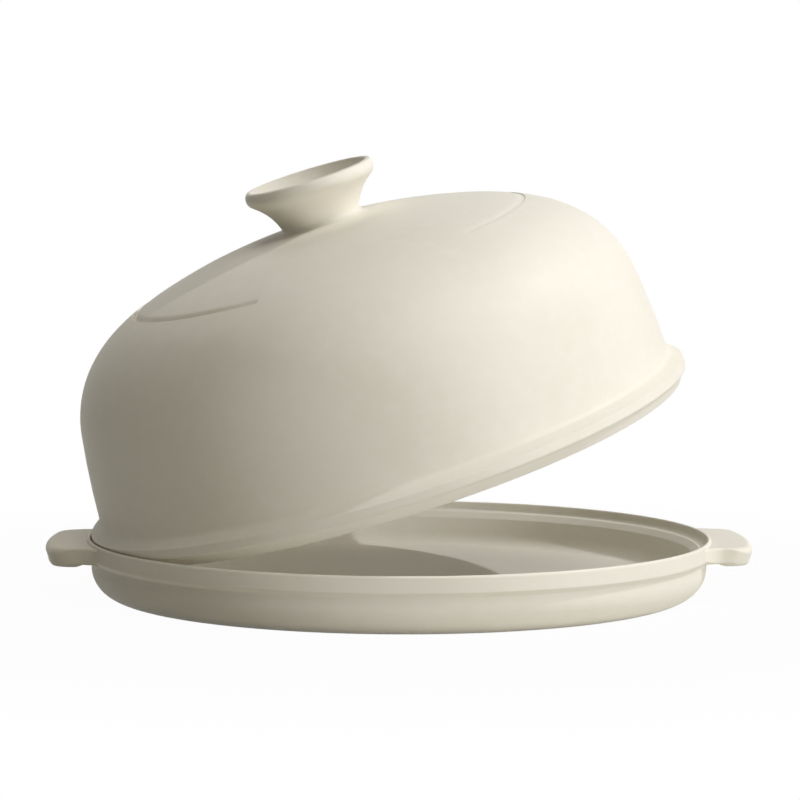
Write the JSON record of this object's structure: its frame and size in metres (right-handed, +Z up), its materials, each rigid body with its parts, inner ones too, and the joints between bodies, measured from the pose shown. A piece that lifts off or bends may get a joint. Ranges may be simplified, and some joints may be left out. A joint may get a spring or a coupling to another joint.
{
  "type": "bread cloche",
  "caption": "Round glazed stoneware baking dish with tab handles and a tall domed lid with a hollow flared knob, the lid tipped open on the rim.",
  "frame": {"origin": "centre of the dish's flat foot, on the surface it stands on", "axes": "+Z up, +X towards the right handle, so that the handles lie along X and the lid is tipped open towards +X"},
  "size_m": [0.336, 0.297, 0.2084],
  "materials": {
    "dish_glaze": "satin linen glaze on stoneware",
    "lid_glaze": "satin linen glaze on stoneware"
  },
  "bodies": {
    "dish": {"base_dish": "dish_glaze"},
    "lid": {"dome_lid": "lid_glaze"}
  },
  "joints": [
    {"name": "lid_tilt", "type": "hinge", "parent": "dish", "child": "lid", "pos_m": [-0.12797, -0.03191, 0.03147], "axis": [0.2419, -0.9703, 0], "range_deg": [-17.8, 1.2]}
  ]
}
